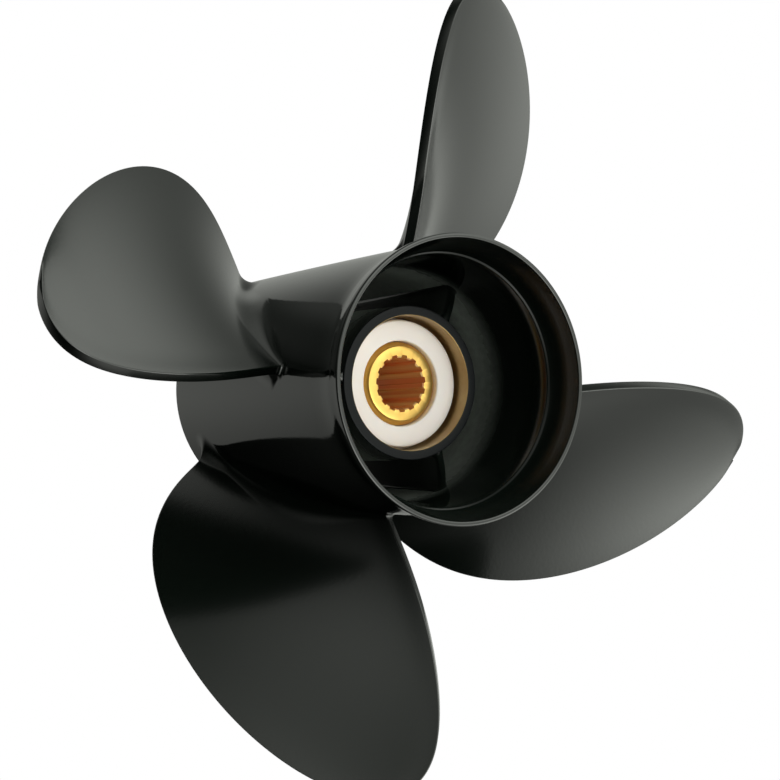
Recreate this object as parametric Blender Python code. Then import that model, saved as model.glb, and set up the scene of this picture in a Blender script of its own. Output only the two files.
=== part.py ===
"""Four-blade outboard propeller with a through-hub exhaust, cushioned hub and splined brass sleeve.

Metres, +Z up. The axis lies along Y, the flared rear ring faces -Y and forward is +Y. The origin is on
the axis at the forward end of the brass sleeve.
"""
import math

import bmesh
import bpy

# Driving dimensions, with Y measured from the sleeve's forward end
REAR_Y = -0.1450            # plane of the flared rear rim
FRONT_Y = 0.0256            # front end of the barrel
GAP = 0.0003                # running gap between pieces
RIM_R = 0.0616              # outer radius of the flared rim
BARREL_REAR_R = 0.0585      # barrel radius just ahead of the flare
BARREL_FRONT_R = 0.0571     # barrel radius at its front end
BARREL_BOW = 0.0003         # how far the barrel stands proud of a straight cone
BORE_REAR_R = 0.0538        # exhaust bore radius behind the ribs
BORE_FRONT_R = 0.0505       # exhaust bore radius at the front
BORE_TAPER = 0.8            # share of the barrel's length over which the bore narrows
BORE_BEND = 0.8             # below 1, the bore narrows faster at first
FLARE_Y = -0.1240           # joint between the barrel and the flare
FLARE_LENGTH = 0.0170       # length over which the barrel opens out to the rim
RIM_WALL = 0.0021           # wall at the rim
RIM_ROUND = 0.0008
STEP_Y = -0.1290            # small shoulder inside the mouth
STEP_OUT_R = 0.0555
STEP_IN_R = 0.0544
FRONT_ROUND = 0.0020        # rounding of the barrel's front edge
TUBE_REAR_Y = -0.1018       # rear rim of the inner tube
TUBE_FRONT_Y = 0.0050
TUBE_R = 0.0341             # outer radius at the rear rim
TUBE_DRAFT = 0.0016         # how much thicker the tube is at its front end
TUBE_FRONT_ROUND = 0.0015
TUBE_RIM_ROUND = 0.0004
TUBE_BORE_R = 0.0298
SEAT_R = 0.0205             # hole through the shoulder that the cushion bears on
CUSHION_REAR_Y = -0.0932
CUSHION_FRONT_Y = -0.0043
CUSHION_LIP_R = 0.0284      # rear end, turned down to clear the tube's mouth
CUSHION_LIP = 0.0040
CUSHION_ROUND = 0.0013
SLEEVE_R = 0.0187
SLEEVE_REAR_Y = -0.0931
SLEEVE_FACE_R = 0.0166      # flat rear face inside the chamfer
SLEEVE_CHAMFER = 0.0028
SLEEVE_BREAK = 0.0006
SPLINES = 15
SPLINE_ROOT_R = 0.0128
SPLINE_TIP_R = 0.0115
SPLINE_PHASE = 12.6         # angle of the first spline groove
RIB_THICK = 0.0045
RIB_REAR_Y = -0.1010
RIB_FRONT_Y = 0.0020
RIB_SWEEP = 0.0095          # how far forward the rear edge runs from tube to barrel
RIB_CLEAR = 0.00025         # further clearance of the flat outer edge in the round barrel
RIB_ANGLES = (60.0, 180.0, 300.0)
BLADES = 4
BLADE_ANGLE = -15.195       # first blade, anticlockwise from +X seen from behind
TIP_R = 0.1778
TIP_CUT = 0.00012           # height taken off the closing point
ROOT_R = 0.0545             # radius at which the blade's own measures start
BLADE_Y = -0.0659           # blade reference line at the root
FACE_FILLET = 0.0122        # root fillet along the rear face
FACE_NARROW = 0.0060        # and where it narrows toward the leading edge
BACK_FILLET = 0.0090        # root fillet along the front face
EDGE_FILLET = 0.0028        # root fillet at the trailing edge
NOSE_FILLET = 0.0090        # root fillet at the leading edge
FACE_RUN = 0.45             # shares of the chord over which the fillets grow to full size
NARROW_START = 0.50
NARROW_RUN = 0.35
BACK_RUN = 0.14
NOSE_RUN = 0.17
FACE_OFF = 0.0012           # the blade foot is faced off this far behind the barrel's front end
TE_ROOT = 0.0041            # trailing edge thickness
TE_TIP = 0.0056
LE_THICK = 0.0015
BELLY = 0.0051              # extra thickness at mid chord, at the root
BELLY_FADE = 0.0040         # how much of it is gone at the tip
CUP = 0.0004                # rearward lip along the trailing edge
CUP_WIDTH = 0.0071
CAMBER_ROOT = 0.0091        # shares of the chord
CAMBER_TIP = 0.0116
NOSE_SHORT = 0.0030         # the leading edge is drawn back near the root: along the chord,
NOSE_SHIFT = 0.0060         # along the axis,
NOSE_DROOP = 0.0020         # and square to the chord,
NOSE_FADE = 0.16            # over this share of the height
ROOT_DEPTH = 0.0055         # how far the raw blade reaches below its root
# The blade's shape over its height, as terms in powers of the share q of the height above the root
CHORD = (0.0592, 0.0275, 0.1838, -0.1770, 0.0221, 0.0097)     # half chord, before the tip closes
SKEW = (0.0344, -0.0653, 0.1611, -0.1756, -0.0418, 0.0609)    # middle of the chord
PITCH = (0.6411, -0.0072, 0.0084, -0.0121)                    # in powers of 2q - 1
RAKE = (0.0, 0.3398, -0.168, 1.92, -17.1)                     # in powers of the height in metres

# How finely the shapes are divided
ROUND_SEGMENTS = 64
CUTTER_SEGMENTS = 96
SECTION_POINTS = 12
FOOT_RINGS = 8
FOOT_CROWD = 1.6            # above 1, the rings crowd toward the barrel
BODY_RINGS = 18

# Colours
GLOSS_BLACK = (0.030, 0.034, 0.032)
FLARE_BLACK = (0.034, 0.038, 0.036)
TUBE_BLACK = (0.026, 0.029, 0.030)
IVORY = (0.80, 0.75, 0.65)
BRASS = (0.83, 0.62, 0.25)


def clear_scene():
    for item in list(bpy.data.objects):
        bpy.data.objects.remove(item, do_unlink=True)
    for mesh in list(bpy.data.meshes):
        bpy.data.meshes.remove(mesh)


def material(name, colour, metallic, roughness):
    mat = bpy.data.materials.new(name)
    mat.use_nodes = True
    shader = mat.node_tree.nodes["Principled BSDF"]
    shader.inputs["Base Color"].default_value = (*colour, 1.0)
    shader.inputs["Metallic"].default_value = metallic
    shader.inputs["Roughness"].default_value = roughness
    mat.diffuse_color = (*colour, 1.0)
    return mat


def solid(name, verts, faces, mat, smooth=True):
    mesh = bpy.data.meshes.new(name)
    mesh.from_pydata(verts, [], faces)
    work = bmesh.new()
    work.from_mesh(mesh)
    bmesh.ops.remove_doubles(work, verts=work.verts, dist=1e-6)
    bmesh.ops.recalc_face_normals(work, faces=work.faces)
    work.to_mesh(mesh)
    work.free()
    mesh.materials.append(mat)
    if smooth:
        mesh.polygons.foreach_set("use_smooth", [True] * len(mesh.polygons))
    item = bpy.data.objects.new(name, mesh)
    bpy.context.collection.objects.link(item)
    return item


def turned(name, profile, mat, segments=ROUND_SEGMENTS):
    """Closed (radius, y) outline turned about the Y axis."""
    count = len(profile)
    verts = []
    for step in range(segments):
        a = 2 * math.pi * step / segments
        verts += [(r * math.cos(a), y, r * math.sin(a)) for r, y in profile]
    faces = []
    for step in range(segments):
        here = step * count
        there = (step + 1) % segments * count
        for i in range(count):
            j = (i + 1) % count
            faces.append((here + i, here + j, there + j, there + i))
    return solid(name, verts, faces, mat)


def blend(a, b, share):
    return a + (b - a) * share


def ease(share):
    share = min(1.0, max(0.0, share))
    return share * share * (3 - 2 * share)


# Barrel outline, a shallow cone that bows a little
def barrel_radius(y):
    share = (y - FLARE_Y) / (FRONT_Y - FLARE_Y)
    return blend(BARREL_REAR_R, BARREL_FRONT_R, share) + BARREL_BOW * 4 * share * (1 - share)


def bore_radius(y):
    share = (y - FLARE_Y) / (FRONT_Y - FLARE_Y)
    return blend(BORE_REAR_R, BORE_FRONT_R, min(1.0, share / BORE_TAPER) ** BORE_BEND)


def hub_barrel():
    stations = 14
    ys = [blend(FLARE_Y, FRONT_Y - FRONT_ROUND, i / stations) for i in range(stations + 1)]
    outer = [(barrel_radius(y), y) for y in ys]
    nose = [
        (BARREL_FRONT_R - FRONT_ROUND * 0.3, FRONT_Y - FRONT_ROUND * 0.3),
        (BARREL_FRONT_R - FRONT_ROUND, FRONT_Y),
        (BORE_FRONT_R + FRONT_ROUND * 0.4, FRONT_Y),
    ]
    inner = [(bore_radius(y), y) for y in reversed(ys)]
    return turned("hub_barrel", outer + nose + inner, material("barrel_paint", GLOSS_BLACK, 0.0, 0.18))


# Rear end of the casting: the barrel opens out to a rounded rim, with a small shoulder inside the mouth
def flare_ring():
    joint = FLARE_Y - GAP
    outline = [(BARREL_REAR_R, joint)]
    for i in range(7):
        share = i / 6
        y = blend(REAR_Y + FLARE_LENGTH, REAR_Y + RIM_ROUND, share)
        outline.append((blend(BARREL_REAR_R, RIM_R, ease(share)), y))
    mouth_r = RIM_R - RIM_WALL
    outline += [
        (RIM_R - RIM_ROUND * 0.3, REAR_Y + RIM_ROUND * 0.3),
        (RIM_R - RIM_ROUND, REAR_Y),
        (mouth_r + RIM_ROUND * 0.6, REAR_Y),
        (mouth_r, REAR_Y + RIM_ROUND * 0.6),
        (blend(mouth_r, STEP_OUT_R, 0.4), blend(REAR_Y, STEP_Y, 0.5)),
        (STEP_OUT_R, STEP_Y - GAP),
        (STEP_IN_R, STEP_Y),
        (BORE_REAR_R, STEP_Y + GAP * 3),
        (BORE_REAR_R, joint),
    ]
    return turned("flare_ring", outline, material("flare_paint", FLARE_BLACK, 0.0, 0.2))


def inner_tube():
    front_r = TUBE_R + TUBE_DRAFT
    outline = [
        (TUBE_R - TUBE_RIM_ROUND, TUBE_REAR_Y),
        (TUBE_R, TUBE_REAR_Y + TUBE_RIM_ROUND),
        (blend(TUBE_R, front_r, 0.5), blend(TUBE_REAR_Y, TUBE_FRONT_Y, 0.5)),
        (front_r, TUBE_FRONT_Y - TUBE_FRONT_ROUND),
        (front_r - TUBE_FRONT_ROUND, TUBE_FRONT_Y),
        (SEAT_R + TUBE_FRONT_ROUND / 2, TUBE_FRONT_Y),
        (SEAT_R, TUBE_FRONT_Y - TUBE_FRONT_ROUND / 2),
        (SEAT_R, CUSHION_FRONT_Y + GAP),
        (TUBE_BORE_R, CUSHION_FRONT_Y + GAP),
        (TUBE_BORE_R, TUBE_REAR_Y + TUBE_RIM_ROUND),
        (TUBE_BORE_R + TUBE_RIM_ROUND, TUBE_REAR_Y),
    ]
    return turned("inner_tube", outline, material("tube_paint", TUBE_BLACK, 0.0, 0.3))


def tube_radius(y):
    return TUBE_R + TUBE_DRAFT * (y - TUBE_REAR_Y) / (TUBE_FRONT_Y - TUBE_REAR_Y)


# Radial webs that carry the inner tube in the barrel
def rib(index, angle):
    steps = 10
    verts = []
    turn = math.radians(angle)
    for i in range(steps + 1):
        share = i / steps
        y_in = blend(RIB_REAR_Y, RIB_FRONT_Y, share)
        y_out = blend(RIB_REAR_Y + RIB_SWEEP, RIB_FRONT_Y, share)
        low = tube_radius(y_in) + GAP
        high = bore_radius(y_out) - GAP - RIB_CLEAR
        for r, y, half in ((low, y_in, RIB_THICK / 2), (high, y_out, RIB_THICK / 2)):
            for s in (-half, half):
                verts.append((r * math.cos(turn) - s * math.sin(turn), y, r * math.sin(turn) + s * math.cos(turn)))
    faces = [(0, 1, 3, 2)]
    for i in range(steps):
        a = 4 * i
        for p, q in ((0, 1), (1, 3), (3, 2), (2, 0)):
            faces.append((a + p, a + q, a + 4 + q, a + 4 + p))
    a = 4 * steps
    faces.append((a, a + 2, a + 3, a + 1))
    mat = material(f"rib_{index}_paint", GLOSS_BLACK, 0.0, 0.22)
    return solid(f"rib_{index}", verts, faces, mat, smooth=False)


def cushion():
    inner = SLEEVE_R + GAP
    outer = TUBE_BORE_R - GAP
    outline = [
        (inner, CUSHION_REAR_Y + CUSHION_ROUND),
        (inner + GAP, CUSHION_REAR_Y),
        (CUSHION_LIP_R - CUSHION_ROUND, CUSHION_REAR_Y),
        (CUSHION_LIP_R - CUSHION_ROUND * 0.25, CUSHION_REAR_Y + CUSHION_ROUND * 0.3),
        (CUSHION_LIP_R, CUSHION_REAR_Y + CUSHION_ROUND),
        (CUSHION_LIP_R, CUSHION_REAR_Y + CUSHION_LIP),
        (outer, CUSHION_REAR_Y + CUSHION_LIP * 1.5),
        (outer, CUSHION_FRONT_Y),
        (inner, CUSHION_FRONT_Y),
    ]
    return turned("cushion_bushing", outline, material("cushion_ivory", IVORY, 0.0, 0.45))


# Brass sleeve, round outside with straight-sided splines inside
def spline_outline():
    pitch = (
        (0.00, SPLINE_ROOT_R),
        (0.11, SPLINE_ROOT_R),
        (0.22, SPLINE_ROOT_R),
        (0.30, SPLINE_TIP_R),
        (0.43, SPLINE_TIP_R),
        (0.57, SPLINE_TIP_R),
        (0.70, SPLINE_TIP_R),
        (0.78, SPLINE_ROOT_R),
        (0.89, SPLINE_ROOT_R),
    )
    phase = math.radians(SPLINE_PHASE)
    return [(phase + 2 * math.pi * (k + f) / SPLINES, r) for k in range(SPLINES) for f, r in pitch]


def spline_sleeve():
    teeth = spline_outline()
    loops = (
        (None, SLEEVE_REAR_Y),
        (SLEEVE_FACE_R, SLEEVE_REAR_Y),
        (SLEEVE_R, SLEEVE_REAR_Y + SLEEVE_CHAMFER),
        (SLEEVE_R, -SLEEVE_BREAK),
        (SLEEVE_R - SLEEVE_BREAK, 0.0),
        (None, 0.0),
    )
    verts = []
    for radius, y in loops:
        for angle, tooth in teeth:
            r = tooth if radius is None else radius
            verts.append((r * math.cos(angle), y, r * math.sin(angle)))
    count = len(teeth)
    faces = []
    for k in range(len(loops)):
        a = k * count
        b = (k + 1) % len(loops) * count
        for i in range(count):
            j = (i + 1) % count
            faces.append((a + i, a + j, b + j, b + i))
    return solid("spline_sleeve", verts, faces, material("sleeve_brass", BRASS, 1.0, 0.25), smooth=False)


# Blade sections lie on cylinders about the axis: x runs from trailing edge 0 to leading edge 1
def powers(terms, q):
    return sum(term * q ** i for i, term in enumerate(terms))


def section_point(r, x, lift):
    """Angle and y on the rear face, moved forward off it by lift; also the thickness there."""
    q = max(0.0, (r - ROOT_R) / (TIP_R - ROOT_R))
    half = powers(CHORD, q) * math.sqrt(max(0.0, 1 - q))
    near = math.exp(-(q / NOSE_FADE) ** 2) * x ** 3
    along = powers(SKEW, q) + half * (2 * x - 1) - NOSE_SHORT * near
    beta = math.atan2(powers(PITCH, 2 * q - 1), 2 * math.pi * r)
    line = BLADE_Y - powers(RAKE, r - ROOT_R) - NOSE_SHIFT * near
    bulge = blend(CAMBER_ROOT, CAMBER_TIP, q) * 2 * half * (1 - (2 * x - 1) ** 2)
    cup = CUP * math.exp(-(2 * half * x / CUP_WIDTH) ** 2)
    thick = blend(blend(TE_ROOT, TE_TIP, q), LE_THICK, x)
    thick += (BELLY - BELLY_FADE * q) * 4 * x * (1 - x)
    off = bulge - cup + lift * thick + NOSE_DROOP * near
    turn = along * math.cos(beta) - off * math.sin(beta)
    return -turn / r, line + along * math.sin(beta) + off * math.cos(beta)


def fillet_size(x, lift):
    """Root fillet radius at this share of the chord, on the rear face (lift 0) or the front face (lift 1)."""
    face = blend(EDGE_FILLET, FACE_FILLET, ease(x / FACE_RUN))
    face = blend(face, FACE_NARROW, ease((x - NARROW_START) / NARROW_RUN))
    back = blend(EDGE_FILLET, BACK_FILLET, ease(x / BACK_RUN))
    return blend(blend(face, back, lift), NOSE_FILLET, ease((x - 1 + NOSE_RUN) / NOSE_RUN))


def fillet(height, size):
    """How far a root fillet of this size stands off a wall at this height above the barrel."""
    if height >= size:
        return 0.0
    share = 1 - max(0.0, height) / size
    return size * (1 - math.sqrt(max(0.0, 1 - share * share)))


def section_loop(r, points):
    """Closed loop of (angle, y) round one section, swollen near the barrel to make the fillet."""
    shares = [(1 - math.cos(math.pi * i / points)) / 2 for i in range(points + 1)]
    spots = [(x, 0.0) for x in shares]
    spots += [(1.0, 0.5)]
    spots += [(x, 1.0) for x in reversed(shares)]
    spots += [(0.0, 0.5)]
    loop = [section_point(r, x, lift) for x, lift in spots]
    swollen = []
    for i, (a, y) in enumerate(loop):
        before = loop[i - 1]
        after = loop[(i + 1) % len(loop)]
        dx = (after[0] - before[0]) * r
        dy = after[1] - before[1]
        size = math.hypot(dx, dy) or 1.0
        grow = fillet(r - barrel_radius(y), fillet_size(*spots[i]))
        swollen.append((a - dy / size * grow / r, min(y + dx / size * grow, FRONT_Y - FACE_OFF)))
    return swollen


def blade(index):
    foot_top = BARREL_REAR_R + FACE_FILLET
    heights = [ROOT_R - ROOT_DEPTH]
    for i in range(FOOT_RINGS):
        heights.append(blend(BARREL_FRONT_R - GAP, foot_top, (i / (FOOT_RINGS - 1)) ** FOOT_CROWD))
    for i in range(1, BODY_RINGS):
        heights.append(blend(foot_top, TIP_R, 1 - (1 - i / BODY_RINGS) ** 2))
    heights.append(TIP_R - TIP_CUT)
    start = math.radians(BLADE_ANGLE + 360.0 * index / BLADES)
    verts = []
    for r in heights:
        for a, y in section_loop(r, SECTION_POINTS):
            verts.append((r * math.cos(start + a), y, r * math.sin(start + a)))
    count = len(verts) // len(heights)
    faces = [tuple(range(count)), tuple(reversed(range(len(verts) - count, len(verts))))]
    for k in range(len(heights) - 1):
        a = k * count
        for i in range(count):
            j = (i + 1) % count
            faces.append((a + i, a + count + i, a + count + j, a + j))
    name = f"blade_{index + 1}"
    return solid(name, verts, faces, material(f"{name}_paint", GLOSS_BLACK, 0.0, 0.2))


def seat_on_barrel(blades):
    """Cuts each blade's foot to the barrel's outline, one gap clear of it."""
    ys = [blend(FLARE_Y - 0.01, FRONT_Y + 0.01, i / 16) for i in range(17)]
    outline = [(0.0001, ys[0])] + [(barrel_radius(y) + GAP, y) for y in ys] + [(0.0001, ys[-1])]
    cutter = turned("barrel_cutter", outline, material("cutter", GLOSS_BLACK, 0.0, 0.5), CUTTER_SEGMENTS)
    for item in blades:
        cut = item.modifiers.new("seat", "BOOLEAN")
        cut.operation = "DIFFERENCE"
        cut.solver = "EXACT"
        cut.object = cutter
        bpy.context.view_layer.objects.active = item
        item.select_set(True)
        bpy.ops.object.modifier_apply(modifier=cut.name)
        item.select_set(False)
    bpy.data.objects.remove(cutter, do_unlink=True)


def build():
    clear_scene()
    hub_barrel()
    flare_ring()
    inner_tube()
    for index, angle in enumerate(RIB_ANGLES, 1):
        rib(index, angle)
    cushion()
    spline_sleeve()
    seat_on_barrel([blade(index) for index in range(BLADES)])


build()
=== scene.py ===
"""Outboard propeller: the painted casting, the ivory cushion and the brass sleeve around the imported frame."""
import math

import bmesh
import bpy
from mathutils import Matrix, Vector


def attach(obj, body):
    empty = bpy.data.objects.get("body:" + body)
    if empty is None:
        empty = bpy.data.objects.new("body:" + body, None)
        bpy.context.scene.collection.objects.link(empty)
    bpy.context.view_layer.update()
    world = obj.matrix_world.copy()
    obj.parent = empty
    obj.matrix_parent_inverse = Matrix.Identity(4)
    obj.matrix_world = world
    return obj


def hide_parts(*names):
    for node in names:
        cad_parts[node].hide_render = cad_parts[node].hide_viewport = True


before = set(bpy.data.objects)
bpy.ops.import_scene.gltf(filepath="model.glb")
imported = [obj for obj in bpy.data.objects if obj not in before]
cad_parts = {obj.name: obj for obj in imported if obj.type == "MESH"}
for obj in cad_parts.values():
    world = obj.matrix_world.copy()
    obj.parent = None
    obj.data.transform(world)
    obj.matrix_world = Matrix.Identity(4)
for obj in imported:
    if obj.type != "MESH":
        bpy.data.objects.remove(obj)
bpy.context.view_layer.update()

# Barrel and flare: the outer wall of the aluminium casting, a shallow cone that ends in a flared ring.
# It is cast in one with the blades, turned true at the rear lip, and enamelled gloss black.
BARREL_AFT_Y = -0.1240
BARREL_FORE_Y = 0.0256
BARREL_AFT_R = 0.0585
BARREL_FORE_R = 0.0571
BARREL_BOW = 0.0003
PASSAGE_AFT_R = 0.0538
PASSAGE_FORE_R = 0.0505
LIP_Y = -0.1450
LIP_R = 0.0616
TURNS = 192


def along_barrel(y):
    return (y - BARREL_AFT_Y) / (BARREL_FORE_Y - BARREL_AFT_Y)


def barrel_radius(y):
    share = along_barrel(y)
    return BARREL_AFT_R + (BARREL_FORE_R - BARREL_AFT_R) * share + BARREL_BOW * 4 * share * (1 - share)


def passage_radius(y):
    share = max(0.0, min(1.0, along_barrel(y) * 1.25))
    return PASSAGE_AFT_R + (PASSAGE_FORE_R - PASSAGE_AFT_R) * share ** 0.8


def rounded(points, radius, steps=5):
    """A closed (radius, y) outline with each corner turned into an arc. A corner may bring its own radius."""
    corners = [Vector(point[:2]) for point in points]
    made = []
    for i, here in enumerate(corners):
        back = corners[i - 1] - here
        ahead = corners[(i + 1) % len(corners)] - here
        bend = math.pi - back.angle(ahead)
        if bend < 0.3:
            made.append(here)
            continue
        own = points[i][2] if len(points[i]) > 2 else radius
        reach = min(own * math.tan(bend / 2), back.length * 0.45, ahead.length * 0.45)
        start = here + back.normalized() * reach
        end = here + ahead.normalized() * reach
        for k in range(steps + 1):
            t = k / steps
            made.append(start * (1 - t) ** 2 + here * 2 * t * (1 - t) + end * t ** 2)
    return made


def turned(name, outline, turns=TURNS):
    """Spins a closed (radius, y) outline about the propeller's axis."""
    work = bmesh.new()
    ring = [work.verts.new((r, y, 0.0)) for r, y in outline]
    edges = [work.edges.new((ring[i], ring[(i + 1) % len(ring)])) for i in range(len(ring))]
    bmesh.ops.spin(work, geom=ring + edges, cent=(0, 0, 0), axis=(0, 1, 0), angle=2 * math.pi,
                   steps=turns, use_merge=True, use_normal_flip=False, use_duplicate=False)
    return finished(name, work)


def finished(name, work):
    bmesh.ops.remove_doubles(work, verts=work.verts, dist=1e-7)
    bmesh.ops.recalc_face_normals(work, faces=work.faces)
    for face in work.faces:
        face.smooth = True
    mesh = bpy.data.meshes.new(name)
    work.to_mesh(mesh)
    work.free()
    piece = bpy.data.objects.new(name, mesh)
    bpy.context.collection.objects.link(piece)
    return piece


def enamel(name, colour, rough, skin_scale, skin_depth, index=1.6):
    """Sprayed black enamel: a faint orange peel and slight changes of gloss."""
    paint = bpy.data.materials.new(name)
    paint.use_nodes = True
    nodes, links = paint.node_tree.nodes, paint.node_tree.links
    shader = nodes["Principled BSDF"]
    shader.inputs["Base Color"].default_value = (*colour, 1)
    shader.inputs["Roughness"].default_value = rough
    shader.inputs["IOR"].default_value = index
    where = nodes.new("ShaderNodeTexCoord")
    peel = nodes.new("ShaderNodeTexNoise")
    peel.inputs["Scale"].default_value = skin_scale
    peel.inputs["Detail"].default_value = 3
    links.new(where.outputs["Object"], peel.inputs["Vector"])
    bump = nodes.new("ShaderNodeBump")
    bump.inputs["Strength"].default_value = 1.0
    bump.inputs["Distance"].default_value = skin_depth
    links.new(peel.outputs["Fac"], bump.inputs["Height"])
    links.new(bump.outputs["Normal"], shader.inputs["Normal"])
    return paint


def evenly(start, end, count):
    return [start + (end - start) * k / count for k in range(count + 1)]


flare_outside = [
    (LIP_R, LIP_Y),
    (LIP_R - 0.0003, LIP_Y + 0.0030),
    (LIP_R - 0.0010, LIP_Y + 0.0060),
    (LIP_R - 0.0018, LIP_Y + 0.0090),
    (LIP_R - 0.0025, LIP_Y + 0.0120),
    (LIP_R - 0.0029, LIP_Y + 0.0155),
]
outside = [(barrel_radius(y), y) for y in evenly(BARREL_AFT_Y, BARREL_FORE_Y - 0.0005, 24)]
front_end = [(BARREL_FORE_R, BARREL_FORE_Y), (PASSAGE_FORE_R, BARREL_FORE_Y)]
passage = [(passage_radius(y), y) for y in evenly(BARREL_FORE_Y - 0.001, BARREL_AFT_Y, 40)]
mouth = [
    (PASSAGE_AFT_R + 0.0003, LIP_Y + 0.0170),
    (PASSAGE_AFT_R + 0.0006, LIP_Y + 0.0161, 0.0006),
    (PASSAGE_AFT_R + 0.0014, LIP_Y + 0.0155, 0.0008),
    (PASSAGE_AFT_R + 0.0022, LIP_Y + 0.0140),
    (PASSAGE_AFT_R + 0.0036, LIP_Y + 0.0105),
    (PASSAGE_AFT_R + 0.0048, LIP_Y + 0.0060),
    (LIP_R - 0.0021, LIP_Y, 0.0007),
]
casting_wall = turned("casting_barrel", rounded(flare_outside + outside + front_end + passage + mouth, 0.0009))
casting_wall.data.materials.append(enamel("barrel_enamel", (0.0045, 0.0075, 0.0055), 0.08, 900.0, 0.00002))


def passage_skin_and_light(name):
    """Inside the hub the enamel thins out with depth and the rough grey skin of the casting comes through. The grey
    that grows with depth is partly that skin and partly painted light: a pool of light on the deep passage walls.
    """
    skin = bpy.data.materials.new(name)
    skin.use_nodes = True
    nodes, links = skin.node_tree.nodes, skin.node_tree.links
    shader = nodes["Principled BSDF"]
    shader.inputs["IOR"].default_value = 1.4
    where = nodes.new("ShaderNodeTexCoord")
    place = nodes.new("ShaderNodeSeparateXYZ")
    links.new(where.outputs["Object"], place.inputs["Vector"])
    depth = nodes.new("ShaderNodeMapRange")
    depth.inputs["From Min"].default_value = SKIN_AND_LIGHT_START_Y
    depth.inputs["From Max"].default_value = SKIN_AND_LIGHT_FULL_Y
    depth.interpolation_type = "SMOOTHSTEP"
    links.new(place.outputs["Y"], depth.inputs["Value"])
    mottle = nodes.new("ShaderNodeTexNoise")
    mottle.inputs["Scale"].default_value = 260.0
    mottle.inputs["Detail"].default_value = 5
    mottle.inputs["Roughness"].default_value = 0.65
    links.new(where.outputs["Object"], mottle.inputs["Vector"])
    uneven = nodes.new("ShaderNodeMath")
    uneven.operation = "MULTIPLY_ADD"
    uneven.inputs[1].default_value = 0.9
    uneven.inputs[2].default_value = 0.45
    links.new(mottle.outputs["Fac"], uneven.inputs[0])
    skin_and_light_share = nodes.new("ShaderNodeMath")
    skin_and_light_share.operation = "MULTIPLY"
    skin_and_light_share.use_clamp = True
    links.new(depth.outputs["Result"], skin_and_light_share.inputs[0])
    links.new(uneven.outputs["Value"], skin_and_light_share.inputs[1])
    tint = nodes.new("ShaderNodeValToRGB")
    tint.color_ramp.elements[0].position = 0.0
    tint.color_ramp.elements[0].color = (0.0045, 0.0075, 0.0055, 1)
    tint.color_ramp.elements[1].position = 1.0
    tint.color_ramp.elements[1].color = (0.30, 0.33, 0.30, 1)
    links.new(skin_and_light_share.outputs["Value"], tint.inputs["Fac"])
    links.new(tint.outputs["Color"], shader.inputs["Base Color"])
    gloss = nodes.new("ShaderNodeMapRange")
    gloss.inputs["To Min"].default_value = 0.10
    gloss.inputs["To Max"].default_value = 0.50
    links.new(skin_and_light_share.outputs["Value"], gloss.inputs["Value"])
    links.new(gloss.outputs["Result"], shader.inputs["Roughness"])
    bump = nodes.new("ShaderNodeBump")
    bump.inputs["Strength"].default_value = 0.6
    bump.inputs["Distance"].default_value = 0.0001
    links.new(mottle.outputs["Fac"], bump.inputs["Height"])
    links.new(bump.outputs["Normal"], shader.inputs["Normal"])
    return skin


# Depths over which the grey skin and its painted pool of light fade in.
SKIN_AND_LIGHT_START_Y = -0.100
SKIN_AND_LIGHT_FULL_Y = -0.074
skin_and_painted_light = passage_skin_and_light("passage_skin_and_light")
casting_wall.data.materials.append(skin_and_painted_light)
casting_wall.data.materials.append(enamel("mouth_enamel", (0.0045, 0.0070, 0.0055), 0.16, 900.0, 0.00002, 1.4))
# Passage faces deep in the hub take the grey skin with its painted light; the mouth takes its own rougher enamel.
for face in casting_wall.data.polygons:
    inward = face.center.x * face.normal.x + face.center.z * face.normal.z < 0
    if inward and face.center.y > LIP_Y + 0.0010:
        face.material_index = 1 if face.center.y > BARREL_AFT_Y else 2
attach(casting_wall, "root")
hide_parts("hub_barrel", "flare_ring")

# Blades: four skewed blades cast on the barrel with wide root fillets, a thin leading edge, a flat
# trailing edge and a cupped lip along it. Painted in one with the barrel.
BLADE_ANGLE = -15.195
TIP_R = 0.1778
FOOT_R = 0.0545
BLADE_LINE_Y = -0.0659
FACE_SWELL = 0.0122
FACE_NARROW = 0.0060
BACK_SWELL = 0.0090
EDGE_FILLET = 0.0028
NOSE_FILLET = 0.0090
NOSE_SHORT = 0.0030
NOSE_SHIFT = 0.0060
NOSE_DROOP = 0.0020
NOSE_FADE = 0.16
EDGE_FOOT = 0.0041
EDGE_TIP = 0.0056
NOSE_THICK = 0.0015
BELLY = 0.0051
BELLY_FADE = 0.0040
CUP = 0.0004
CUP_WIDTH = 0.0071
CAMBER_FOOT = 0.0091
CAMBER_TIP = 0.0116
CHORD = (0.0592, 0.0275, 0.1838, -0.1770, 0.0221, 0.0097)
SKEW = (0.0344, -0.0653, 0.1611, -0.1756, -0.0418, 0.0609)
PITCH = (0.6411, -0.0072, 0.0084, -0.0121)
RAKE = (0.0, 0.3398, -0.168, 1.92, -17.1)
CORNER = 0.0006
ACROSS = 56
FOOT_RINGS = 20
UP_RINGS = 90


def powers(terms, q):
    return sum(term * q ** i for i, term in enumerate(terms))


def half_chord(q):
    return powers(CHORD, q) * math.sqrt(max(0.0, 1 - q))


def thickness(q, x):
    edge = EDGE_FOOT + (EDGE_TIP - EDGE_FOOT) * q
    edge += (NOSE_THICK - edge) * x
    return edge + (BELLY - BELLY_FADE * q) * 4 * x * (1 - x)


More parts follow.
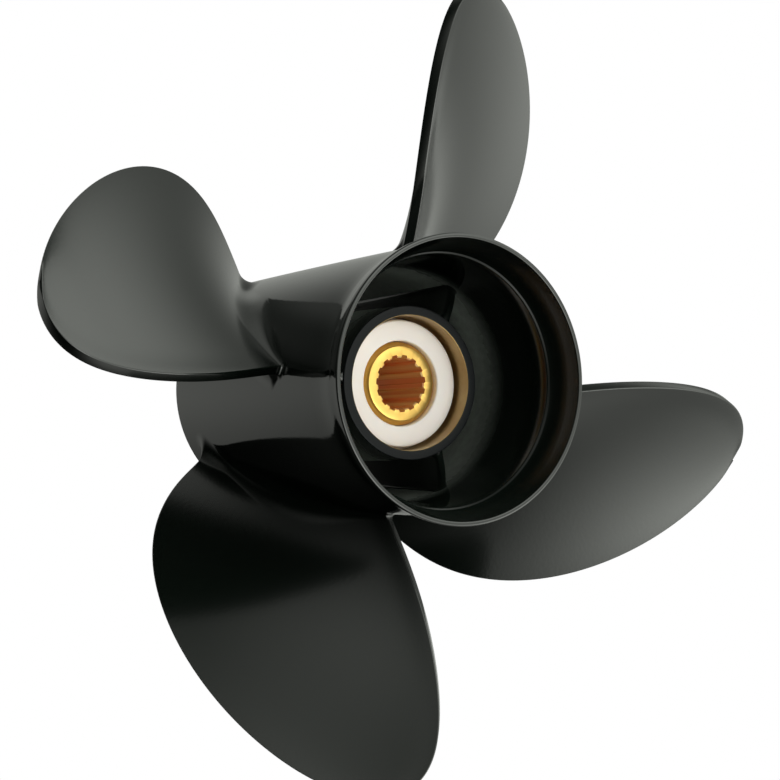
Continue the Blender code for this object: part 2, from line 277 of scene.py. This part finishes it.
def on_cylinder(r, x, away):
    """Angle and y of a point at radius r and chord share x, this far forward of the working face."""
    q = max(0.0, (r - FOOT_R) / (TIP_R - FOOT_R))
    half = half_chord(q)
    near = math.exp(-(q / NOSE_FADE) ** 2) * x ** 3
    along = powers(SKEW, q) + half * (2 * x - 1) - NOSE_SHORT * near
    lean = math.atan2(powers(PITCH, 2 * q - 1), 2 * math.pi * r)
    line = BLADE_LINE_Y - powers(RAKE, r - FOOT_R) - NOSE_SHIFT * near
    bulge = (CAMBER_FOOT + (CAMBER_TIP - CAMBER_FOOT) * q) * 2 * half * (1 - (2 * x - 1) ** 2)
    cup = CUP * math.exp(-(2 * half * x / CUP_WIDTH) ** 2)
    off = bulge - cup + away + NOSE_DROOP * near
    turn = along * math.cos(lean) - off * math.sin(lean)
    return -turn / r, line + along * math.sin(lean) + off * math.cos(lean)


def ease(t):
    t = min(1.0, max(0.0, t))
    return t * t * (3 - 2 * t)


def foot_radius(x, side):
    """Radius of the root fillet: small at the trailing edge, wide along both faces, and round at the nose."""
    if side < 0:
        wide = EDGE_FILLET + (FACE_SWELL - EDGE_FILLET) * ease(x / 0.45)
        wide += (FACE_NARROW - wide) * ease((x - 0.50) / 0.35)
        return wide + (NOSE_FILLET - wide) * ease((x - 0.80) / 0.20)
    wide = EDGE_FILLET + (BACK_SWELL - EDGE_FILLET) * ease(x / 0.05)
    return wide + (NOSE_FILLET - wide) * ease((x - 0.86) / 0.14)


def spots(q):
    """Chord share, side and fillet radius of each point round a section, from the trailing edge's lower corner."""
    chord = max(2 * half_chord(q), 1e-5)
    corner = min(CORNER / chord, 0.2)
    nose = min(NOSE_THICK / 2 / chord, 0.2)
    bulk = CORNER / (thickness(q, 0.0) / 2)
    shares = [(1 - math.cos(math.pi * k / ACROSS)) / 2 for k in range(1, ACROSS)]
    turns = [math.pi / 2 * k / 4 for k in range(5)]
    low = [(corner * (1 - math.cos(turn)), -1 + bulk * (1 - math.sin(turn))) for turn in turns]
    low += [(corner + (1 - corner - nose) * x, -1) for x in shares]
    tip = [(1 - nose * (1 - math.sin(math.pi * k / 8)), -math.cos(math.pi * k / 8)) for k in range(9)]
    high = [(corner + (1 - corner - nose) * x, 1) for x in reversed(shares)]
    high += [(corner * (1 - math.cos(turn)), 1 - bulk * (1 - math.sin(turn))) for turn in reversed(turns)]
    return low + tip + high


def section(r_of, tip):
    """One closed loop round the blade, as (radius, angle, y). r_of gives the radius for a y and a fillet radius."""
    loop = []
    for x, side in spots(max(0.0, (r_of(0.0, FACE_SWELL) - FOOT_R) / (TIP_R - FOOT_R))):
        foot = foot_radius(x, side)
        r = r_of(0.0, foot)
        for _ in range(3):
            q = max(0.0, (r - FOOT_R) / (TIP_R - FOOT_R))
            a, y = on_cylinder(r, x, thickness(q, x) / 2 * (1 + side * tip))
            r = r_of(y, foot)
        loop.append((r, a, y))
    return loop


def swollen(loop, grow):
    """The loop moved outward on its own cylinder for the root fillet, and faced off with the barrel.

    grow gives the distance for a fillet radius."""
    made = []
    for i, ((r, a, y), (x, side)) in enumerate(zip(loop, spots(0.0))):
        before, after = loop[i - 1], loop[(i + 1) % len(loop)]
        dx = (after[1] - before[1]) * r
        dy = after[2] - before[2]
        size = math.hypot(dx, dy) or 1.0
        out = grow(foot_radius(x, side))
        made.append((r, a - dy / size * out / r, min(y + dx / size * out, BARREL_FORE_Y - 0.0012)))
    return made


def blade_rings():
    rings = []
    low = section(lambda y, foot: barrel_radius(y) - 0.0001, 1.0)
    toe = swollen(low, lambda foot: foot + 0.0012)
    rings.append([(barrel_radius(y) - 0.00012, a, y) for _, a, y in toe])
    for k in range(FOOT_RINGS + 1):
        turn = math.pi / 2 * k / FOOT_RINGS
        up, out = 1 - math.cos(turn), 1 - math.sin(turn)
        loop = section(lambda y, foot: barrel_radius(y) + foot * up, 1.0)
        ring = swollen(loop, lambda foot: foot * out)
        rings.append([(barrel_radius(y) + foot_radius(x, side) * up, a, y)
                      for (_, a, y), (x, side) in zip(ring, spots(0.0))])
    for k in range(1, UP_RINGS + 1):
        share = 1 - (1 - k / UP_RINGS) ** 2
        keep = 1 - ease(share / 0.25)
        lift = FOOT_R + (TIP_R - FOOT_R) * share
        edge = max(0.0, (lift - (TIP_R - 0.0010)) / 0.0010)
        tip = math.sqrt(max(0.0, 1 - min(edge, 0.98) ** 2))
        rings.append(section(lambda y, foot: lift + foot * (1 - share) + (barrel_radius(y) - FOOT_R) * keep, tip))
    return rings


def blade(index, rings):
    work = bmesh.new()
    around = len(rings[0])
    bmesh.ops.create_grid(work, x_segments=around, y_segments=len(rings) - 1, size=1.0)
    start = math.radians(BLADE_ANGLE + 90.0 * index)
    for vert in work.verts:
        i = round((vert.co.x + 1) / 2 * around) % around
        j = round((vert.co.y + 1) / 2 * (len(rings) - 1))
        r, a, y = rings[j][i]
        vert.co = (r * math.cos(start + a), y, r * math.sin(start + a))
    bmesh.ops.remove_doubles(work, verts=work.verts, dist=1e-7)
    bmesh.ops.holes_fill(work, edges=[e for e in work.edges if e.is_boundary], sides=0)
    return finished(f"blade_{index + 1}_cast", work)


blade_enamel = enamel("blade_enamel", (0.0045, 0.0075, 0.0055), 0.16, 700.0, 0.00002)
rings = blade_rings()
for index in range(4):
    piece = blade(index, rings)
    piece.data.materials.append(blade_enamel)
    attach(piece, "root")
    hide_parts(f"blade_{index + 1}")

# Inner tube: the middle wall of the casting, bored out to take the cushion. Its outside and its rear
# rim are enamelled, and the bored wall keeps its yellow chromate coat.
TUBE_AFT_Y = -0.1018
TUBE_FORE_Y = 0.0050
TUBE_R = 0.0341
TUBE_DRAFT = 0.0016
TUBE_BORE_R = 0.0298
SEAT_R = 0.0205
SEAT_Y = -0.0040


def tube_radius(y):
    return TUBE_R + TUBE_DRAFT * (y - TUBE_AFT_Y) / (TUBE_FORE_Y - TUBE_AFT_Y)


tube_outline = rounded([
    (TUBE_R, TUBE_AFT_Y),
    (TUBE_R + TUBE_DRAFT / 2, (TUBE_AFT_Y + TUBE_FORE_Y) / 2),
    (TUBE_R + TUBE_DRAFT, TUBE_FORE_Y),
    (SEAT_R, TUBE_FORE_Y),
    (SEAT_R, SEAT_Y),
    (TUBE_BORE_R, SEAT_Y),
    (TUBE_BORE_R, TUBE_AFT_Y, 0.0004),
], 0.0006)
tube = turned("inner_tube_wall", tube_outline)
tube.data.materials.append(enamel("tube_enamel", (0.007, 0.008, 0.009), 0.34, 600.0, 0.00003, 1.22))


def chromate(name):
    """Yellow chromate over a bored wall: warm, a little uneven, with fine turning lines round it."""
    coat = bpy.data.materials.new(name)
    coat.use_nodes = True
    nodes, links = coat.node_tree.nodes, coat.node_tree.links
    shader = nodes["Principled BSDF"]
    shader.inputs["Metallic"].default_value = 0.85
    where = nodes.new("ShaderNodeTexCoord")
    cloud = nodes.new("ShaderNodeTexNoise")
    cloud.inputs["Scale"].default_value = 70.0
    cloud.inputs["Detail"].default_value = 4
    links.new(where.outputs["Object"], cloud.inputs["Vector"])
    tint = nodes.new("ShaderNodeValToRGB")
    tint.color_ramp.elements[0].position = 0.35
    tint.color_ramp.elements[0].color = (0.30, 0.19, 0.07, 1)
    tint.color_ramp.elements[1].position = 0.68
    tint.color_ramp.elements[1].color = (0.42, 0.30, 0.14, 1)
    links.new(cloud.outputs["Fac"], tint.inputs["Fac"])
    links.new(tint.outputs["Color"], shader.inputs["Base Color"])
    gloss = nodes.new("ShaderNodeMapRange")
    gloss.inputs["To Min"].default_value = 0.28
    gloss.inputs["To Max"].default_value = 0.42
    links.new(cloud.outputs["Fac"], gloss.inputs["Value"])
    links.new(gloss.outputs["Result"], shader.inputs["Roughness"])
    lines = nodes.new("ShaderNodeTexWave")
    lines.bands_direction = "Y"
    lines.inputs["Scale"].default_value = 400.0
    lines.inputs["Distortion"].default_value = 0.6
    links.new(where.outputs["Object"], lines.inputs["Vector"])
    bump = nodes.new("ShaderNodeBump")
    bump.inputs["Strength"].default_value = 0.4
    bump.inputs["Distance"].default_value = 0.00002
    links.new(lines.outputs["Fac"], bump.inputs["Height"])
    links.new(bump.outputs["Normal"], shader.inputs["Normal"])
    return coat


tube.data.materials.append(chromate("bore_chromate"))
# Deep in the hub the tube's outside takes the same grey skin, with its painted pool of light.
tube.data.materials.append(skin_and_painted_light)
for face in tube.data.polygons:
    middle = face.center
    across = math.hypot(middle.x, middle.z)
    if across < TUBE_BORE_R + 0.0003 and middle.y < SEAT_Y:
        face.material_index = 1
    elif across > TUBE_R - 0.0004 and middle.y > TUBE_AFT_Y + 0.001:
        face.material_index = 2
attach(tube, "root")
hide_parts("inner_tube")

# Ribs: three webs cast between the inner tube and the barrel. They carry the hub and leave three
# passages for the exhaust, and they swell into both walls.
RIB_HALF = 0.00225
RIB_AFT_Y = -0.1010
RIB_FORE_Y = 0.0020
RIB_HOLLOW = 0.0095
RIB_FILLET = 0.0030
RIB_LAYERS = 16
RIB_AROUND = 28


def rib_half(up, room):
    """Half thickness at this height above the tube, in a passage this wide."""
    swell = 0.0
    for near in (up, room - up):
        if near < RIB_FILLET:
            share = 1 - max(0.0, near) / RIB_FILLET
            swell += RIB_FILLET * (1 - math.sqrt(1 - share * share))
    return RIB_HALF + swell


def rib(index, angle):
    work = bmesh.new()
    bmesh.ops.create_grid(work, x_segments=RIB_AROUND, y_segments=RIB_LAYERS, size=1.0)
    turn = math.radians(angle)
    for vert in work.verts:
        u = (vert.co.x + 1) / 2
        v = (vert.co.y + 1) / 2
        share = (1 - math.cos(math.pi * v)) / 2
        room = passage_radius(-0.06) - TUBE_R
        half = rib_half(share * room, room)
        aft = RIB_AFT_Y + RIB_HOLLOW * (share ** 1.5)
        swing = 2 * math.pi * u
        side = max(-1.0, min(1.0, 1.3 * math.sin(swing))) * half
        along = math.cos(swing)
        y = aft + half if along < 0 else RIB_FORE_Y - half
        y += math.copysign(half * math.sqrt(max(0.0, 1 - (side / half) ** 2)), along)
        low, high = tube_radius(y) - 0.0003, passage_radius(y) + 0.0003
        r = low + (high - low) * share
        vert.co = (r * math.cos(turn) - side * math.sin(turn), y, r * math.sin(turn) + side * math.cos(turn))
    bmesh.ops.remove_doubles(work, verts=work.verts, dist=1e-7)
    bmesh.ops.holes_fill(work, edges=[e for e in work.edges if e.is_boundary], sides=0)
    return finished(f"rib_{index}_web", work)


rib_enamel = enamel("rib_enamel", (0.0050, 0.0075, 0.0060), 0.12, 500.0, 0.00004, 1.45)
for index, angle in enumerate((60.0, 180.0, 300.0), 1):
    piece = rib(index, angle)
    piece.data.materials.append(rib_enamel)
    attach(piece, "root")
    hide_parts(f"rib_{index}")

# Cushion: the moulded ivory bushing that is pressed into the tube and lets the hub slip or give under
# shock. Its rear face is flat, with a soft outer corner.
CUSHION_AFT_Y = -0.0932
CUSHION_FORE_Y = -0.0043
CUSHION_LIP_R = 0.0284
CUSHION_BODY_R = 0.0296
CUSHION_BORE_R = 0.0190
cushion_outline = rounded([
    (CUSHION_BORE_R, CUSHION_AFT_Y),
    (CUSHION_LIP_R, CUSHION_AFT_Y),
    (CUSHION_LIP_R, CUSHION_AFT_Y + 0.0045),
    (CUSHION_BODY_R, CUSHION_AFT_Y + 0.0065),
    (CUSHION_BODY_R, CUSHION_FORE_Y),
    (CUSHION_BORE_R, CUSHION_FORE_Y),
], 0.0011)
cushion = turned("cushion_ring", cushion_outline)


def ivory(name):
    """Moulded ivory plastic: even, silky, with a faint cloudiness and fine moulding grain."""
    stuff = bpy.data.materials.new(name)
    stuff.use_nodes = True
    nodes, links = stuff.node_tree.nodes, stuff.node_tree.links
    shader = nodes["Principled BSDF"]
    shader.inputs["Roughness"].default_value = 0.42
    shader.inputs["Subsurface Weight"].default_value = 0.15
    shader.inputs["Subsurface Radius"].default_value = (0.0020, 0.0014, 0.0009)
    shader.inputs["Subsurface Scale"].default_value = 1.0
    where = nodes.new("ShaderNodeTexCoord")
    cloud = nodes.new("ShaderNodeTexNoise")
    cloud.inputs["Scale"].default_value = 45.0
    cloud.inputs["Detail"].default_value = 3
    links.new(where.outputs["Object"], cloud.inputs["Vector"])
    tint = nodes.new("ShaderNodeValToRGB")
    tint.color_ramp.elements[0].position = 0.30
    tint.color_ramp.elements[0].color = (0.86, 0.785, 0.755, 1)
    tint.color_ramp.elements[1].position = 0.70
    tint.color_ramp.elements[1].color = (0.90, 0.83, 0.80, 1)
    links.new(cloud.outputs["Fac"], tint.inputs["Fac"])
    links.new(tint.outputs["Color"], shader.inputs["Base Color"])
    grain = nodes.new("ShaderNodeTexNoise")
    grain.inputs["Scale"].default_value = 1500.0
    links.new(where.outputs["Object"], grain.inputs["Vector"])
    bump = nodes.new("ShaderNodeBump")
    bump.inputs["Strength"].default_value = 0.5
    bump.inputs["Distance"].default_value = 0.00002
    links.new(grain.outputs["Fac"], bump.inputs["Height"])
    links.new(bump.outputs["Normal"], shader.inputs["Normal"])
    return stuff


cushion.data.materials.append(ivory("cushion_ivory"))
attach(cushion, "root")
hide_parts("cushion_bushing")

# Sleeve: the brass core that slides on the propeller shaft. It is turned outside, faced at both ends
# and broached inside with fifteen straight-sided splines.
SLEEVE_R = 0.0187
SLEEVE_AFT_Y = -0.0931
SPLINES = 15
GROOVE_R = 0.0128
TOOTH_R = 0.0115
BREAK = 0.0004
MOUTH_R = 0.0121
FACE_R = 0.0166


def spline_ring(away):
    """Radius and angle round the broached bore, moved this far into the metal."""
    pitch = ((0.00, 0), (0.06, 0), (0.12, 0), (0.18, 0), (0.225, 0), (0.295, 1), (0.36, 1), (0.43, 1), (0.50, 1),
             (0.57, 1), (0.64, 1), (0.705, 1), (0.775, 0), (0.82, 0), (0.88, 0), (0.94, 0))
    phase = math.radians(12.6)
    ring = []
    for k in range(SPLINES):
        for share, tooth in pitch:
            ring.append((phase + 2 * math.pi * (k + share) / SPLINES, (TOOTH_R if tooth else GROOVE_R) + away))
    return ring


def splined_sleeve(name):
    """Rings go out of the bore over the rear face, along the outside and back over the front face.

    A ring with no radius of its own follows the teeth, but never inside its least radius."""
    work = bmesh.new()
    bore = spline_ring(0.0)
    around = len(bore)
    ends = [
        (None, TOOTH_R, SLEEVE_AFT_Y + MOUTH_R - TOOTH_R),
        (None, MOUTH_R, SLEEVE_AFT_Y + 0.00005),
        (None, MOUTH_R + 0.0003, SLEEVE_AFT_Y),
        (FACE_R - 0.0001, 0, SLEEVE_AFT_Y),
        (FACE_R, 0, SLEEVE_AFT_Y + 0.00005),
        (SLEEVE_R - 0.0001, 0, SLEEVE_AFT_Y + 0.0026),
        (SLEEVE_R, 0, SLEEVE_AFT_Y + 0.0028),
        (SLEEVE_R, 0, -0.0006),
        (SLEEVE_R - 0.0006, 0, 0.0),
        (None, GROOVE_R + BREAK, 0.0),
        (None, TOOTH_R, -BREAK),
    ]
    bmesh.ops.create_grid(work, x_segments=around, y_segments=len(ends), size=1.0)
    for vert in work.verts:
        i = round((vert.co.x + 1) / 2 * around) % around
        j = round((vert.co.y + 1) / 2 * len(ends)) % len(ends)
        radius, least, y = ends[j]
        angle, tooth = bore[i]
        r = max(tooth, least) if radius is None else radius
        vert.co = (r * math.cos(angle), y, r * math.sin(angle))
    return finished(name, work)


sleeve = splined_sleeve("brass_sleeve")


def brass(name):
    """Machined brass: warm yellow, fine facing rings on the ends and broach lines along the bore."""
    metal = bpy.data.materials.new(name)
    metal.use_nodes = True
    nodes, links = metal.node_tree.nodes, metal.node_tree.links
    shader = nodes["Principled BSDF"]
    shader.inputs["Metallic"].default_value = 1.0
    where = nodes.new("ShaderNodeTexCoord")
    cloud = nodes.new("ShaderNodeTexNoise")
    cloud.inputs["Scale"].default_value = 60.0
    cloud.inputs["Detail"].default_value = 2
    links.new(where.outputs["Object"], cloud.inputs["Vector"])
    tint = nodes.new("ShaderNodeValToRGB")
    tint.color_ramp.elements[0].position = 0.30
    tint.color_ramp.elements[0].color = (0.66, 0.40, 0.10, 1)
    tint.color_ramp.elements[1].position = 0.70
    tint.color_ramp.elements[1].color = (0.76, 0.50, 0.14, 1)
    links.new(cloud.outputs["Fac"], tint.inputs["Fac"])
    links.new(tint.outputs["Color"], shader.inputs["Base Color"])
    gloss = nodes.new("ShaderNodeMapRange")
    gloss.inputs["To Min"].default_value = 0.28
    gloss.inputs["To Max"].default_value = 0.34
    links.new(cloud.outputs["Fac"], gloss.inputs["Value"])
    links.new(gloss.outputs["Result"], shader.inputs["Roughness"])
    stretch = nodes.new("ShaderNodeMapping")
    stretch.inputs["Scale"].default_value = (1.0, 0.02, 1.0)
    links.new(where.outputs["Object"], stretch.inputs["Vector"])
    lines = nodes.new("ShaderNodeTexNoise")
    lines.inputs["Scale"].default_value = 2200.0
    links.new(stretch.outputs["Vector"], lines.inputs["Vector"])
    bump = nodes.new("ShaderNodeBump")
    bump.inputs["Strength"].default_value = 0.5
    bump.inputs["Distance"].default_value = 0.00001
    links.new(lines.outputs["Fac"], bump.inputs["Height"])
    links.new(bump.outputs["Normal"], shader.inputs["Normal"])
    return metal


sleeve.data.materials.append(brass("sleeve_brass"))


def broached(name):
    """The broached bore: brown-gold metal whose bright and dark streaks along the splines are painted reflections of
    the far side of the bore.
    """
    metal = bpy.data.materials.new(name)
    metal.use_nodes = True
    nodes, links = metal.node_tree.nodes, metal.node_tree.links
    shader = nodes["Principled BSDF"]
    shader.inputs["Metallic"].default_value = 0.25
    shader.inputs["Roughness"].default_value = 0.26
    where = nodes.new("ShaderNodeTexCoord")
    stretch = nodes.new("ShaderNodeMapping")
    stretch.inputs["Scale"].default_value = (1.0, 0.015, 1.0)
    links.new(where.outputs["Object"], stretch.inputs["Vector"])
    reflection_streak = nodes.new("ShaderNodeTexNoise")
    reflection_streak.inputs["Scale"].default_value = 420.0
    reflection_streak.inputs["Detail"].default_value = 2
    links.new(stretch.outputs["Vector"], reflection_streak.inputs["Vector"])
    # Painted reflections: the stretched noise swings the base colour between dark and bright along the splines.
    tint = nodes.new("ShaderNodeValToRGB")
    tint.color_ramp.elements[0].position = 0.35
    tint.color_ramp.elements[0].color = (0.90, 0.40, 0.17, 1)
    tint.color_ramp.elements[1].position = 0.72
    tint.color_ramp.elements[1].color = (1.0, 0.80, 0.32, 1)
    links.new(reflection_streak.outputs["Fac"], tint.inputs["Fac"])
    links.new(tint.outputs["Color"], shader.inputs["Base Color"])
    bump = nodes.new("ShaderNodeBump")
    bump.inputs["Strength"].default_value = 0.5
    bump.inputs["Distance"].default_value = 0.00002
    links.new(reflection_streak.outputs["Fac"], bump.inputs["Height"])
    links.new(bump.outputs["Normal"], shader.inputs["Normal"])
    return metal


sleeve.data.materials.append(broached("bore_brass"))
for face in sleeve.data.polygons:
    if math.hypot(face.center.x, face.center.z) < GROOVE_R + 0.0001 and face.center.y > SLEEVE_AFT_Y + 0.0003:
        face.material_index = 1
sleeve.data.set_sharp_from_angle(angle=math.radians(30))
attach(sleeve, "root")
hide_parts("spline_sleeve")

# Stage: a pale floor far enough below to take no shadow, and soft light from a few broad panels. The
# panels are smooth patches on the sky, each given by compass angle, height, width and strength.
FLOOR_Z = -0.60
floor_work = bmesh.new()
bmesh.ops.create_grid(floor_work, x_segments=1, y_segments=1, size=6.0)
bmesh.ops.translate(floor_work, verts=floor_work.verts, vec=(0, 0, FLOOR_Z))
floor = finished("floor", floor_work)
floor_white = bpy.data.materials.new("floor_white")
floor_white.use_nodes = True
paper = floor_white.node_tree.nodes["Principled BSDF"]
paper.inputs["Base Color"].default_value = (0, 0, 0, 1)
paper.inputs["Roughness"].default_value = 1.0
paper.inputs["Specular IOR Level"].default_value = 0.0
paper.inputs["Emission Color"].default_value = (1, 1, 1, 1)
paper.inputs["Emission Strength"].default_value = 1.0
floor.data.materials.append(floor_white)
floor.visible_glossy = False
floor.visible_diffuse = False

PANELS = (
    (90, -75, 14, 0.86),
    (-180, -50, 14, 0.98),
    (-180, -25, 14, 5.20),
    (-152, -25, 14, 0.41),
    (-14, -25, 14, 0.13),
    (69, -25, 14, 0.28),
    (97, -25, 14, 0.84),
    (125, -25, 14, 3.51),
    (-26, 0, 14, 0.42),
    (51, 0, 14, 0.89),
    (103, 0, 14, 0.80),
    (-180, 25, 14, 1.08),
    (-125, 25, 14, 0.60),
    (14, 25, 14, 0.42),
    (152, 25, 14, 2.84),
    (-140, 50, 14, 0.37),
    (100, 50, 14, 2.00),
    (0, 75, 14, 0.50),
)
world = bpy.data.worlds.new("studio")
bpy.context.scene.world = world
world.use_nodes = True
sky, wires = world.node_tree.nodes, world.node_tree.links
toward = sky.new("ShaderNodeTexCoord")
total = None
for compass, height, tightness, strength in PANELS:
    turn, lift = math.radians(compass), math.radians(height)
    facing = sky.new("ShaderNodeVectorMath")
    facing.operation = "DOT_PRODUCT"
    facing.inputs[1].default_value = (math.sin(turn) * math.cos(lift), math.cos(turn) * math.cos(lift), math.sin(lift))
    wires.new(toward.outputs["Generated"], facing.inputs[0])
    fall = sky.new("ShaderNodeMath")
    fall.operation = "MULTIPLY_ADD"
    fall.inputs[1].default_value = tightness
    fall.inputs[2].default_value = -tightness
    wires.new(facing.outputs["Value"], fall.inputs[0])
    soft = sky.new("ShaderNodeMath")
    soft.operation = "EXPONENT"
    wires.new(fall.outputs["Value"], soft.inputs[0])
    add = sky.new("ShaderNodeMath")
    add.operation = "MULTIPLY_ADD"
    add.inputs[1].default_value = strength
    add.inputs[2].default_value = 0.0
    wires.new(soft.outputs["Value"], add.inputs[0])
    if total:
        wires.new(total, add.inputs[2])
    total = add.outputs["Value"]
glow = sky["Background"]
wires.new(total, glow.inputs["Strength"])
glow.inputs["Color"].default_value = (0.97, 1.0, 0.93, 1)
plain = sky.new("ShaderNodeBackground")
plain.inputs["Color"].default_value = (1, 1, 1, 1)
seen = sky.new("ShaderNodeLightPath")
choose = sky.new("ShaderNodeMixShader")
wires.new(seen.outputs["Is Camera Ray"], choose.inputs["Fac"])
wires.new(glow.outputs["Background"], choose.inputs[1])
wires.new(plain.outputs["Background"], choose.inputs[2])
wires.new(choose.outputs["Shader"], sky["World Output"].inputs["Surface"])

# Camera: level with the hub, behind it and to its left.
lens = bpy.data.cameras.new("camera")
lens.lens = 74.991
lens.sensor_width = 36.0
camera = bpy.data.objects.new("camera", lens)
camera.location = (-0.37226, -0.71190, -0.05154)
camera.rotation_euler = [math.radians(a) for a in (93.8343, -3.0511, -30.8576)]
bpy.context.collection.objects.link(camera)
bpy.context.scene.camera = camera
bpy.context.scene.view_settings.view_transform = "Standard"
